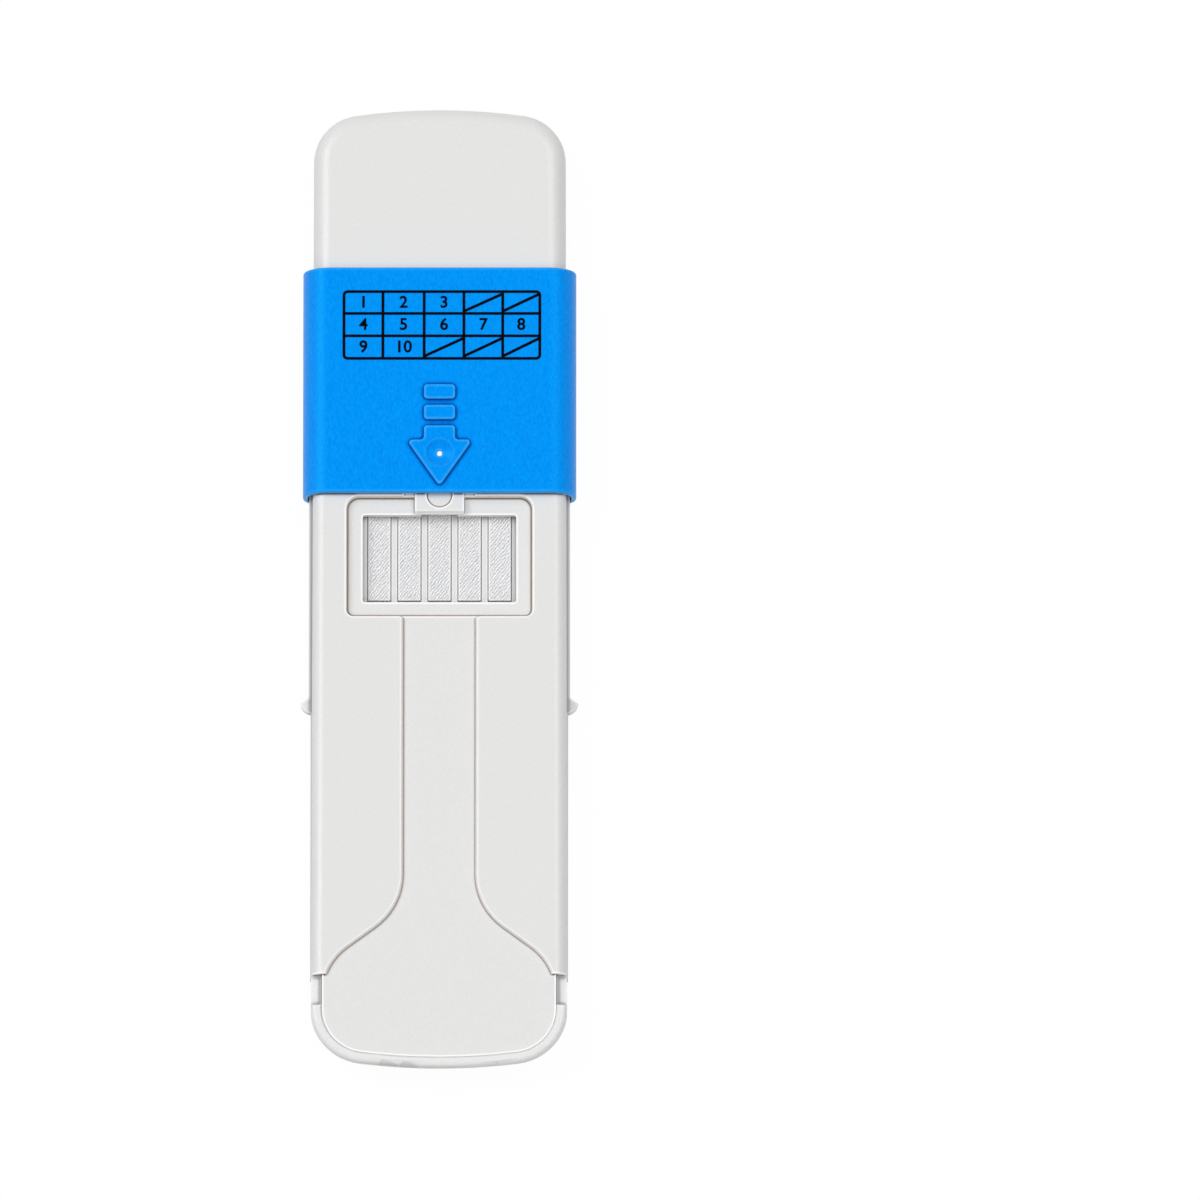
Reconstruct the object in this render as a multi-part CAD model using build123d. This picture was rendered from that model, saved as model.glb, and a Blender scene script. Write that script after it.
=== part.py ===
from build123d import *
from math import cos, radians, sin, sqrt
import os

# Lateral flow cassette: five test strips in two white shells, with a blue sleeve that slides along them.
# X runs across the cassette, Y along it with the plain upper end at +Y, and Z out of its face.
# The origin lies under the middle of the cassette, on the plane that the sleeve rests on.
# All sizes are in millimetres.

# The two shells
BODY_LENGTH = 158.0
SIDE_ROOM = 7.65  # from the outer lanes to the body's side, at its plain upper end
FOOT_SPREAD = 0.25  # how much further out each side is at the lower end
BODY_THICKNESS = 7.6
BASE_DEPTH = 3.8  # the share of the thickness that the base shell takes
SHELL_WALL = 1.2
UPPER_CROWN_RADIUS = 95.0  # each end is a shallow arc between two corner arcs
FOOT_CROWN_RADIUS = 100.0
UPPER_CORNER = 7.8
FOOT_CORNER = 8.9
FACE_FILLET = 3.0  # at the plain upper end
TRACK_FILLET = 2.1  # from the rails' upper ends down, where the sleeve slides
BACK_FILLET = 3.0
FIT_GAP = 0.04  # between the shells where one stands inside the other
FOOT_WALL = 2.8  # of the base round the seat's end, where its outside leans in
FOOT_LEAN = 0.3  # how far the lower end's wall leans in, for each unit down
FOOT_LEAN_DROP = 1.5  # from the cover's face down to where that wall is furthest out
CUT_CLEARANCE = 0.2  # how far a cut runs out past the face it opens

# The sleeve and what it slides on
SLEEVE_LENGTH = 37.1
SLEEVE_FOOT_INSET = 64.0  # its lower end when it covers the result windows, from the body's upper end
SLEEVE_WALL = 1.0  # front and back
SLEEVE_SIDE_WALL = 0.8
SLEEVE_CORNER = 4.4
BORE_CORNER = 3.0
SLEEVE_EDGE_FILLET = 0.35
SLIDE_GAP = 0.2
SLIDE_TRAVEL = 32.5
RAIL_PROUD = 0.45  # how far the base's rails stand out from its lower end
RAIL_HEAD_INSET = 2.0  # the rails end this far inside the sleeve's upper end
RAIL_TAPER = 0.3  # how much narrower the rails are past the stops
RAIL_FOOT_PROUD = 0.12  # at their lower ends, beside the notches
RAIL_LIFT = 0.6  # from the base's back up to the rails' undersides
STOP_REACH = 1.3  # how far the stop barbs stand out from the rails
STOP_LENGTH = 2.55
STOP_GAP = 0.2  # between the sleeve and a stop's shoulder, at the end of the travel
STOP_SLOPE = 0.9  # how far a stop's shoulder leans back from the sleeve
STOP_HOLLOW = 0.12  # how far that shoulder is hollowed below a straight line
STOP_BELLY_SHARE = 0.6  # of the reach
STOP_BELLY = 1.15  # how far the round back has fallen there
STOP_DEPTH = 1.3  # down from the parting line

# Marks raised on the sleeve
MARK_RISE = 0.45
MARK_FILLET = 0.25
DASH_WIDTH = 5.06
DASH_LENGTH = 2.45
DASH_PITCH = 3.39
DASH_CORNER = 0.6
ARROW_TIP_INSET = 0.85  # from the sleeve's lower end
ARROW_HEAD_LENGTH = 7.75
ARROW_HEAD_WIDTH = 10.77
ARROW_STEM_LENGTH = 2.34
ARROW_CORNER = 0.55
DISH_INSET = 6.4  # its middle, from the sleeve's lower end
DISH_RADIUS = 2.27
DISH_DEPTH = 0.7
DISH_HOLE_RADIUS = 0.48

# Sample window, and the recess, channel and flared seat that hold a sample collector
WINDOW_LENGTH = 14.37
WINDOW_FOOT_INSET = 81.63  # its lower edge, from the body's upper end
WINDOW_CORNER = 0.4
WINDOW_SIDE_GAP = 0.84  # from the outer strips to the window's sides
RECESS_DEPTH = 1.07
RECESS_PLATE = 1.1  # thickness under the recess
RECESS_LEDGE_SIDE = 2.45  # the recess's floor beside, above and below the window
RECESS_LEDGE_UPPER = 2.73
RECESS_LEDGE_FOOT = 2.29
RECESS_UPPER_CORNER = 1.9
RECESS_FOOT_CORNER = 1.0
RECESS_DRAFT = 12.0
CHANNEL_WIDTH = 11.42
CHANNEL_DEPTH = 0.6
CHANNEL_DRAFT = 32.0
CHANNEL_MOUTH_CORNER = 0.5
FLARE_INNER_RADIUS = 10.8
FLARE_OUTER_RADIUS = 9.3
FLARE_TURN = 53.5  # degrees each way, so that the curve ends along the cassette again
FLARE_END_INSET = 12.0  # where the curve ends, from the lower end of the cassette
FLARE_LIP = 0.25  # from the flare's widest place to the seat's side
RIM_WIDTH = 1.7  # the base's rim round the seat's end
RIM_DROP = 0.25  # from the cover's face down to the rim's crown
RIM_FILLET = 0.9
RIM_CHAMFER = 0.3  # along the rim's inner edge
RIM_END_FILLET = 0.25
NOTCH_DROP = 1.6  # from the cover's face down to the clip notches' floors
NOTCH_HEAD_INSET = 15.25  # the clip notches' upper ends, from the lower end of the cassette
NOTCH_LENGTH = 5.0

# Tongue over the recess's upper edge, with a slot at each side
TONGUE_WIDTH = 7.94
TONGUE_OVERHANG = 2.75
TONGUE_ROOT = 8.4  # from the recess's edge up to where it joins the cover
TONGUE_THICKNESS = 0.8
TONGUE_SLOT = 1.7
TONGUE_CORNER = 0.6
TONGUE_FILLET = 0.15
TONGUE_TIP_BEVEL = 0.5
TONGUE_DIMPLE_RADIUS = 2.07
TONGUE_DIMPLE_DEPTH = 0.25
TONGUE_SILL_DROP = 0.35  # from the cover's face down to the sills that end the slots at the recess
TONGUE_SILL = 0.8  # length of those sills
TONGUE_DIMPLE_INSET = 3.09  # from the tongue's tip
TONGUE_RELIEF_WIDTH = 5.8  # shallow notch in the window's edge under the tongue
TONGUE_RELIEF_DEPTH = 0.5

# Test strips, each a laminate on a backing card
STRIP_COUNT = 5
STRIP_WIDTH = 3.62
STRIP_FOOT_GAP = 0.67  # from the window's lower edge to the strips' ends
CARD_THICKNESS = 0.3
MEMBRANE_THICKNESS = 0.15
CONJUGATE_THICKNESS = 0.35
SAMPLE_THICKNESS = 0.8
ABSORBENT_THICKNESS = 0.9
PAD_OVERLAP = 2.0
PAD_RAMP = 0.6  # length over which a pad rises on to its neighbour
SAMPLE_LENGTH = 18.0
CONJUGATE_LENGTH = 8.0
MEMBRANE_LENGTH = 27.0
ABSORBENT_LENGTH = 18.0
PAD_GAP = 0.18  # between the highest pad and the recess's underside

# Lanes in the base
LANE_RIB_WIDTH = 1.0
LANE_GAP = 0.1  # between a strip and the ribs beside it
LANE_RIB_RISE = 0.85  # above the strips' bed
LANE_END_GAP = 0.15
BED_RIB_WIDTH = 1.0
BED_RIB_COUNT = 6

# Result windows in the cover, one over each membrane
RESULT_WIDTH = 2.5
RESULT_LENGTH = 15.0
RESULT_FOOT_GAP = 4.0  # from the upper end of the conjugate pad
RESULT_FRAME = 1.6  # thickened band round the windows
RESULT_FRAME_DEPTH = 1.2
RESULT_CHAMFER = 0.5
RESULT_DRAFT = 40.0

# Bars under the cover that hold the pads down
PRESS_BAR_WIDTH = 1.2
PRESS_BAR_GAP = 0.05

# Pins of the cover in posts of the base
PIN_RADIUS = 0.8
PIN_BOSS_RADIUS = 1.5
PIN_GAP = 0.08
POST_RADIUS = 1.8
POST_ROWS = 6
POST_UPPER_INSET = 12.0
POST_FOOT_INSET = 19.0
PIN_TIP_GAP = 0.3
STIFFENER_WIDTH = 0.9
STIFFENER_DROP = 0.9  # below the parting line

# Lanes and half widths that follow
STRIP_PITCH = STRIP_WIDTH + LANE_RIB_WIDTH + 2 * LANE_GAP
LANE_HALF = STRIP_PITCH * STRIP_COUNT / 2 + LANE_RIB_WIDTH / 2
UPPER_HALF = LANE_HALF + SIDE_ROOM
FOOT_HALF = UPPER_HALF + FOOT_SPREAD
RAIL_HALF = FOOT_HALF + RAIL_PROUD
SLEEVE_HALF = RAIL_HALF + SLIDE_GAP + SLEEVE_SIDE_WALL
SEAT_HALF = FOOT_HALF - RIM_WIDTH - FIT_GAP
WINDOW_HALF = STRIP_PITCH * (STRIP_COUNT - 1) / 2 + STRIP_WIDTH / 2 + WINDOW_SIDE_GAP
RECESS_HALF = WINDOW_HALF + RECESS_LEDGE_SIDE
POST_X = (LANE_HALF + UPPER_HALF - SHELL_WALL) / 2
STRIP_PLACES = [STRIP_PITCH * (index - (STRIP_COUNT - 1) / 2) for index in range(STRIP_COUNT)]

# Levels that follow
BODY_BACK = SLEEVE_WALL + SLIDE_GAP
BODY_FACE = BODY_BACK + BODY_THICKNESS
PARTING = BODY_BACK + BASE_DEPTH
BASE_FLOOR = BODY_BACK + SHELL_WALL
COVER_CEILING = BODY_FACE - SHELL_WALL
SLEEVE_HEIGHT = BODY_FACE + SLIDE_GAP + SLEEVE_WALL
CHANNEL_FLOOR = BODY_FACE - CHANNEL_DEPTH
RECESS_FLOOR = BODY_FACE - RECESS_DEPTH
RECESS_UNDERSIDE = RECESS_FLOOR - RECESS_PLATE
CARD_FACE = RECESS_UNDERSIDE - PAD_GAP - SAMPLE_THICKNESS - CONJUGATE_THICKNESS
STRIP_BED = CARD_FACE - CARD_THICKNESS
LANE_RIB_TOP = STRIP_BED + LANE_RIB_RISE
RESULT_FRAME_UNDERSIDE = COVER_CEILING - RESULT_FRAME_DEPTH

# Places along the body that follow
BODY_HEAD_Y = BODY_LENGTH / 2
SLEEVE_FOOT_Y = BODY_HEAD_Y - SLEEVE_FOOT_INSET
SLEEVE_HEAD_Y = SLEEVE_FOOT_Y + SLEEVE_LENGTH
RAIL_HEAD_Y = SLEEVE_HEAD_Y - RAIL_HEAD_INSET
STOP_SHOULDER_Y = SLEEVE_FOOT_Y - SLIDE_TRAVEL - STOP_GAP
WINDOW_FOOT_Y = BODY_HEAD_Y - WINDOW_FOOT_INSET
WINDOW_HEAD_Y = WINDOW_FOOT_Y + WINDOW_LENGTH
RECESS_HEAD_Y = WINDOW_HEAD_Y + RECESS_LEDGE_UPPER
RECESS_FOOT_Y = WINDOW_FOOT_Y - RECESS_LEDGE_FOOT
NOTCH_HEAD_Y = NOTCH_HEAD_INSET - BODY_HEAD_Y
NOTCH_FOOT_Y = NOTCH_HEAD_Y - NOTCH_LENGTH
TONGUE_TIP_Y = RECESS_HEAD_Y - TONGUE_OVERHANG
TONGUE_ROOT_Y = RECESS_HEAD_Y + TONGUE_ROOT
STRIP_FOOT_Y = WINDOW_FOOT_Y + STRIP_FOOT_GAP
CONJUGATE_FOOT_Y = STRIP_FOOT_Y + SAMPLE_LENGTH - PAD_OVERLAP
MEMBRANE_FOOT_Y = CONJUGATE_FOOT_Y + CONJUGATE_LENGTH - PAD_OVERLAP
ABSORBENT_FOOT_Y = MEMBRANE_FOOT_Y + MEMBRANE_LENGTH - PAD_OVERLAP
STRIP_HEAD_Y = ABSORBENT_FOOT_Y + ABSORBENT_LENGTH
RESULT_FOOT_Y = CONJUGATE_FOOT_Y + CONJUGATE_LENGTH + RESULT_FOOT_GAP
RESULT_HEAD_Y = RESULT_FOOT_Y + RESULT_LENGTH


def block(x, y, z):
    """Box between two limits along each axis."""
    sizes = (x[1] - x[0], y[1] - y[0], z[1] - z[0])
    return Pos(x[0], y[0], z[0]) * Box(*sizes, align=(Align.MIN, Align.MIN, Align.MIN))


def raised(sketch, z, taper=0.0):
    """Solid that stands on a plan sketch between two levels."""
    return Pos(0, 0, z[0]) * extrude(sketch, z[1] - z[0], taper=taper)


def along_body(section, y):
    """Solid with an upright section, centred on the sleeve's middle height, between two places along Y."""
    return Pos(0, y[1], SLEEVE_HEIGHT / 2) * Rot(90, 0, 0) * extrude(section, y[1] - y[0])


def across_body(points, x):
    """Solid with a side view of points (y, z), between two places along X."""
    side = make_face(Polyline(*[(0, y, z) for y, z in points], close=True))
    return extrude(Pos(x[0], 0, 0) * side, x[1] - x[0], dir=(1, 0, 0))


def everything(y, z=(0.0, SLEEVE_HEIGHT)):
    """Box as wide as the whole cassette and more, to cut or keep a stretch of it."""
    return block((-SLEEVE_HALF * 2, SLEEVE_HALF * 2), y, z)


def arc_fall(half_width, radius):
    """How far an end's arc falls from its crown to the body's side."""
    return radius - sqrt(radius**2 - half_width**2)


def body_outline(inset=0.0):
    """Outline of both shells in plan, drawn in all round by inset."""
    upper_y = BODY_HEAD_Y - arc_fall(UPPER_HALF, UPPER_CROWN_RADIUS)
    foot_y = arc_fall(FOOT_HALF, FOOT_CROWN_RADIUS) - BODY_HEAD_Y
    border = [
        Line((-FOOT_HALF, foot_y), (-UPPER_HALF, upper_y)),
        ThreePointArc((-UPPER_HALF, upper_y), (0, BODY_HEAD_Y), (UPPER_HALF, upper_y)),
        Line((UPPER_HALF, upper_y), (FOOT_HALF, foot_y)),
        ThreePointArc((FOOT_HALF, foot_y), (0, -BODY_HEAD_Y), (-FOOT_HALF, foot_y)),
    ]
    face = make_face(border)
    face = fillet(face.vertices().sort_by(Axis.Y)[:2], FOOT_CORNER)
    face = fillet(face.vertices().sort_by(Axis.Y)[-2:], UPPER_CORNER)
    if inset:
        face = offset(face, -inset)
    return face


def post_places():
    """Middles of the posts and pins, in two rows down the cassette."""
    upper_y = BODY_HEAD_Y - POST_UPPER_INSET
    foot_y = POST_FOOT_INSET - BODY_HEAD_Y
    step = (upper_y - foot_y) / (POST_ROWS - 1)
    return [(side * POST_X, foot_y + step * row) for row in range(POST_ROWS) for side in (-1, 1)]


def sleeve_section(inset=0.0, corner=SLEEVE_CORNER):
    """Rounded section of the sleeve, drawn in by inset at its sides and by the wall's share at its faces."""
    height = SLEEVE_HEIGHT
    if inset:
        height = SLEEVE_HEIGHT - 2 * (SLEEVE_WALL + inset - SLEEVE_SIDE_WALL)
    return RectangleRounded(2 * (SLEEVE_HALF - inset), height, corner)


def rail_band():
    """The base's rails: what the sleeve's bore leaves under the parting line, once the gap is taken off."""
    past_stops = RAIL_HALF - RAIL_TAPER
    rail_foot = FOOT_HALF + RAIL_FOOT_PROUD
    half_plan = [
        (0, RAIL_HEAD_Y),
        (RAIL_HALF, RAIL_HEAD_Y),
        (RAIL_HALF, STOP_SHOULDER_Y),
        (past_stops, STOP_SHOULDER_Y - STOP_LENGTH),
        (rail_foot, NOTCH_HEAD_Y),
        (0, NOTCH_HEAD_Y),
    ]
    half = make_face(Polyline(*half_plan, close=True))
    plan = half + mirror(half, Plane.YZ)
    section = sleeve_section(SLEEVE_SIDE_WALL + SLIDE_GAP, BORE_CORNER - SLIDE_GAP)
    band = along_body(section, (NOTCH_HEAD_Y, RAIL_HEAD_Y))
    return band & raised(plan, (BODY_BACK + RAIL_LIFT, PARTING))


def stop_barbs():
    """Barbs on the rails: a leaning, hollow shoulder towards the sleeve and a round back."""
    tip = RAIL_HALF + STOP_REACH
    root = RAIL_HALF - RAIL_TAPER - SHELL_WALL / 2
    belly_root = (root, STOP_SHOULDER_Y - STOP_LENGTH)
    tip_y = STOP_SHOULDER_Y - STOP_SLOPE
    belly = (RAIL_HALF + STOP_REACH * STOP_BELLY_SHARE, tip_y - STOP_BELLY)
    hollow = (RAIL_HALF + STOP_REACH / 2, STOP_SHOULDER_Y - STOP_SLOPE / 2 - STOP_HOLLOW)
    border = [
        Line((root, STOP_SHOULDER_Y), (RAIL_HALF, STOP_SHOULDER_Y)),
        ThreePointArc((RAIL_HALF, STOP_SHOULDER_Y), hollow, (tip, tip_y)),
        ThreePointArc((tip, tip_y), belly, belly_root),
        Line(belly_root, (root, STOP_SHOULDER_Y)),
    ]
    barb = raised(make_face(border), (PARTING - STOP_DEPTH, PARTING))
    return barb + mirror(barb, Plane.YZ)


def lanes():
    """Ribs that part the strips, end stops, and the cross ribs that the strips lie on."""
    low = BODY_BACK + SHELL_WALL / 2
    foot = STRIP_FOOT_Y - LANE_END_GAP - LANE_RIB_WIDTH
    head = STRIP_HEAD_Y + LANE_END_GAP + LANE_RIB_WIDTH
    ribs = Part()
    for index in range(STRIP_COUNT + 1):
        middle = STRIP_PITCH * (index - STRIP_COUNT / 2)
        sides = (middle - LANE_RIB_WIDTH / 2, middle + LANE_RIB_WIDTH / 2)
        ribs += block(sides, (foot, head), (low, LANE_RIB_TOP))
    for y in ((foot, foot + LANE_RIB_WIDTH), (head - LANE_RIB_WIDTH, head)):
        ribs += block((-LANE_HALF, LANE_HALF), y, (low, LANE_RIB_TOP))
    step = (STRIP_HEAD_Y - STRIP_FOOT_Y - BED_RIB_WIDTH) / (BED_RIB_COUNT - 1)
    for index in range(BED_RIB_COUNT):
        y = STRIP_FOOT_Y + step * index
        ribs += block((-LANE_HALF, LANE_HALF), (y, y + BED_RIB_WIDTH), (low, STRIP_BED))
    return ribs


def rim():
    """Round rim that stands up round the seat's end, and the lower stretch of it under the clip notches."""
    inner = body_outline(RIM_WIDTH)
    low = PARTING - SHELL_WALL / 2
    crown_z = BODY_FACE - RIM_DROP
    crown = raised(body_outline(), (low, crown_z))
    crown = fillet(crown.edges().group_by(Axis.Z)[-1], RIM_FILLET) - raised(inner, (low, crown_z))
    crown -= raised(inner, (crown_z - RIM_CHAMFER, crown_z), taper=-45.0)
    crown &= everything((-BODY_LENGTH, NOTCH_FOOT_Y))
    ends = crown.faces().sort_by(Axis.Y)[-2:].edges().group_by(Axis.Z)[-1]
    crown = fillet(ends, RIM_END_FILLET)
    floor = raised(body_outline() - inner, (low, BODY_FACE - NOTCH_DROP))
    return crown + (floor & everything((NOTCH_FOOT_Y - RIM_WIDTH, NOTCH_HEAD_Y)))


def foot_lean():
    """What is cut off the outside of the lower end, whose wall leans in towards the back."""
    top = BODY_FACE - FOOT_LEAN_DROP + CUT_CLEARANCE / FOOT_LEAN
    outline = Pos(0, 0, top) * body_outline(-CUT_CLEARANCE)
    kept = extrude(outline, top * sqrt(1 + FOOT_LEAN**2), dir=(0, FOOT_LEAN, -1))
    return everything((-BODY_LENGTH, NOTCH_FOOT_Y), (0, top)) - kept


def base_shell():
    """Lower shell: tray, rails, stops, lanes, posts and the rim that stands up round the seat's end."""
    tray = raised(body_outline(), (BODY_BACK, PARTING))
    tray = fillet(tray.edges().group_by(Axis.Z)[0], BACK_FILLET)
    tray += rail_band()
    hollow = raised(body_outline(SHELL_WALL), (BASE_FLOOR, SLEEVE_HEIGHT))
    tray -= fillet(hollow.edges().group_by(Axis.Z)[0], BACK_FILLET - SHELL_WALL)
    low = BODY_BACK + SHELL_WALL / 2
    foot = raised(body_outline(SHELL_WALL / 2) - body_outline(FOOT_WALL), (low, PARTING))
    tray += foot & everything((-BODY_LENGTH, NOTCH_HEAD_Y + SHELL_WALL))
    tray += rim()
    tray -= foot_lean()
    tray += stop_barbs()
    tray += lanes()

    for x, y in post_places():
        post = Pos(x, y, low) * Cylinder(
            POST_RADIUS, PARTING - low, align=(Align.CENTER, Align.CENTER, Align.MIN)
        )
        bore_depth = PARTING - BASE_FLOOR
        bore = Pos(x, y, PARTING) * Cylinder(
            PIN_RADIUS + PIN_GAP, bore_depth, align=(Align.CENTER, Align.CENTER, Align.MAX)
        )
        tray = tray + post - bore

    stiff_head = STRIP_FOOT_Y - LANE_END_GAP - LANE_RIB_WIDTH / 2
    stiff_foot = RIM_WIDTH + SHELL_WALL / 2 - BODY_HEAD_Y
    for x in (-CHANNEL_WIDTH / 2, CHANNEL_WIDTH / 2):
        sides = (x - STIFFENER_WIDTH / 2, x + STIFFENER_WIDTH / 2)
        tray += block(sides, (stiff_foot, stiff_head), (low, PARTING - STIFFENER_DROP))
    return tray


def flare_half():
    """Half of the channel and of its flare, whose side turns out and back again, down to the seat."""
    half_channel = CHANNEL_WIDTH / 2
    turn = radians(FLARE_TURN)
    radii = FLARE_INNER_RADIUS + FLARE_OUTER_RADIUS
    straight = (SEAT_HALF - FLARE_LIP - half_channel - radii * (1 - cos(turn))) / sin(turn)
    end_y = FLARE_END_INSET - BODY_HEAD_Y
    start_y = end_y + radii * sin(turn) + straight * cos(turn)
    side = Line((half_channel, RECESS_FOOT_Y), (half_channel, start_y))
    out = JernArc(side @ 1, side % 1, FLARE_INNER_RADIUS, FLARE_TURN)
    run = Line(out @ 1, out @ 1 + (out % 1) * straight)
    back = JernArc(run @ 1, run % 1, FLARE_OUTER_RADIUS, -FLARE_TURN)
    close = Polyline(back @ 1, (0, (back @ 1).Y), (0, RECESS_FOOT_Y), side @ 0)
    return make_face([side, out, run, back, close])


def mouth_corners(cover):
    """The two upright edges where the channel's sides meet the recess."""
    sides = cover.edges().filter_by_position(Axis.Z, CHANNEL_FLOOR, BODY_FACE, (False, False))
    sides = sides.filter_by_position(Axis.Y, RECESS_FOOT_Y - CHANNEL_DEPTH, RECESS_FOOT_Y)
    reach = CHANNEL_WIDTH / 2 + CHANNEL_DEPTH
    return sides.filter_by_position(Axis.X, -reach, reach)


def recess_sketch(margin=0.0):
    """Plan of the recess round the sample window, with larger corners at its upper end."""
    half = RECESS_HALF + margin
    foot = RECESS_FOOT_Y - margin
    head = RECESS_HEAD_Y + margin
    face = make_face(Polyline((-half, foot), (half, foot), (half, head), (-half, head), close=True))
    face = fillet(face.vertices().sort_by(Axis.Y)[-2:], RECESS_UPPER_CORNER + margin)
    return fillet(face.vertices().sort_by(Axis.Y)[:2], RECESS_FOOT_CORNER + margin)


def front_cover():
    """Upper shell: panels, channel and seat, recess with the sample window, tongue and result windows."""
    top = BODY_FACE + CUT_CLEARANCE
    under = PARTING - CUT_CLEARANCE
    cover = Part()
    for radius, y in ((FACE_FILLET, (RAIL_HEAD_Y, BODY_LENGTH)), (TRACK_FILLET, (-BODY_LENGTH, RAIL_HEAD_Y))):
        shell = raised(body_outline(), (PARTING, BODY_FACE))
        cover += fillet(shell.edges().group_by(Axis.Z)[-1], radius) & everything(y)

    flare = flare_half() + mirror(flare_half(), Plane.YZ)
    seat = Pos(0, NOTCH_HEAD_Y) * Rectangle(FOOT_HALF * 4, BODY_LENGTH, align=(Align.CENTER, Align.MAX))
    cover -= raised(flare, (CHANNEL_FLOOR, top), taper=-CHANNEL_DRAFT)
    cover -= raised(seat, (CHANNEL_FLOOR, top))
    outside_seat = seat - body_outline(RIM_WIDTH + FIT_GAP)
    cover -= raised(outside_seat, (under, top))
    cover -= raised(recess_sketch(), (RECESS_FLOOR, top), taper=-RECESS_DRAFT)
    cover = fillet(mouth_corners(cover), CHANNEL_MOUTH_CORNER)

    hollow = raised(body_outline(SHELL_WALL), (under, COVER_CEILING))
    hollow = fillet(hollow.edges().group_by(Axis.Z)[-1], SHELL_WALL)
    hollow &= everything((NOTCH_HEAD_Y + SHELL_WALL, BODY_LENGTH))
    hollow += raised(body_outline(RIM_WIDTH + FIT_GAP + SHELL_WALL), (under, COVER_CEILING))
    hollow -= raised(offset(flare, SHELL_WALL), (CHANNEL_FLOOR - SHELL_WALL, top))
    hollow -= raised(seat, (CHANNEL_FLOOR - SHELL_WALL, top))
    hollow -= raised(recess_sketch(SHELL_WALL), (RECESS_UNDERSIDE, top))
    cover -= hollow

    window = RectangleRounded(2 * WINDOW_HALF, WINDOW_LENGTH, WINDOW_CORNER)
    cover -= raised(Pos(0, WINDOW_FOOT_Y + WINDOW_LENGTH / 2) * window, (PARTING, top))
    relief = (-TONGUE_RELIEF_WIDTH / 2, TONGUE_RELIEF_WIDTH / 2)
    cover -= block(relief, (WINDOW_FOOT_Y, WINDOW_HEAD_Y + TONGUE_RELIEF_DEPTH), (PARTING, top))

    cover = cover - tongue_room() + tongue()
    cover = cover + result_frame() - result_windows()
    cover += press_bars()
    for x, y in post_places():
        boss_height = COVER_CEILING + SHELL_WALL / 4 - PARTING
        cover += Pos(x, y, PARTING) * Cylinder(
            PIN_BOSS_RADIUS, boss_height, align=(Align.CENTER, Align.CENTER, Align.MIN)
        )
        pin_height = PARTING - BASE_FLOOR - PIN_TIP_GAP
        cover += Pos(x, y, PARTING) * Cylinder(
            PIN_RADIUS, pin_height, align=(Align.CENTER, Align.CENTER, Align.MAX)
        )
    return cover


def tongue_room():
    """The two slots beside the tongue, which end in low sills at the recess, and the space under it."""
    half = TONGUE_WIDTH / 2 + TONGUE_SLOT
    top = BODY_FACE + CUT_CLEARANCE
    under = BODY_FACE - TONGUE_THICKNESS
    sides = (-TONGUE_WIDTH / 2, TONGUE_WIDTH / 2)
    room = block(sides, (TONGUE_TIP_Y, TONGUE_ROOT_Y), (RECESS_FLOOR, under))
    room += block((-half, half), (TONGUE_TIP_Y, TONGUE_ROOT_Y), (BODY_FACE - TONGUE_SILL_DROP, top))
    room += block((-half, half), (RECESS_HEAD_Y + TONGUE_SILL, TONGUE_ROOT_Y), (RECESS_FLOOR, top))
    behind_wall = RECESS_HEAD_Y + SHELL_WALL
    return room + block((-half, half), (behind_wall, TONGUE_ROOT_Y), (PARTING, top))


def tongue():
    """Tongue with a shallow round pocket, free at its lower end."""
    half = TONGUE_WIDTH / 2
    under = BODY_FACE - TONGUE_THICKNESS
    plate = block((-half, half), (TONGUE_TIP_Y, TONGUE_ROOT_Y + SHELL_WALL / 2), (under, BODY_FACE))
    tip = plate.faces().sort_by(Axis.Y)[0]
    plate = fillet(tip.edges().filter_by(Axis.Z), TONGUE_CORNER)
    plate = fillet(plate.edges().group_by(Axis.Z)[-1].sort_by(Axis.Y)[:3], TONGUE_FILLET)
    bevel_low = (TONGUE_TIP_Y - CUT_CLEARANCE, BODY_FACE - TONGUE_TIP_BEVEL - CUT_CLEARANCE)
    bevel_high = (TONGUE_TIP_Y + TONGUE_TIP_BEVEL + CUT_CLEARANCE, BODY_FACE + CUT_CLEARANCE)
    bevel = [bevel_low, bevel_high, (bevel_low[0], bevel_high[1])]
    plate -= across_body(bevel, (-TONGUE_WIDTH, TONGUE_WIDTH))
    middle = (0, TONGUE_TIP_Y + TONGUE_DIMPLE_INSET, BODY_FACE)
    return plate - Pos(*middle) * Cylinder(TONGUE_DIMPLE_RADIUS, 2 * TONGUE_DIMPLE_DEPTH)


def result_frame():
    """Thicker band of the cover round the result windows."""
    half = STRIP_PITCH * (STRIP_COUNT - 1) / 2 + RESULT_WIDTH / 2 + RESULT_FRAME
    y = (RESULT_FOOT_Y - RESULT_FRAME, RESULT_HEAD_Y + RESULT_FRAME)
    return block((-half, half), y, (RESULT_FRAME_UNDERSIDE, BODY_FACE - SHELL_WALL / 2))


def result_windows():
    """One slot over each membrane, wider at the cover's face."""
    slots = Part()
    for x in STRIP_PLACES:
        middle = (RESULT_FOOT_Y + RESULT_HEAD_Y) / 2
        slot = Pos(x, middle) * RectangleRounded(RESULT_WIDTH, RESULT_LENGTH, RESULT_WIDTH / 4)
        slots += raised(slot, (PARTING, BODY_FACE))
        slots += raised(slot, (BODY_FACE - RESULT_CHAMFER, BODY_FACE), taper=-RESULT_DRAFT)
    return slots


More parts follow.
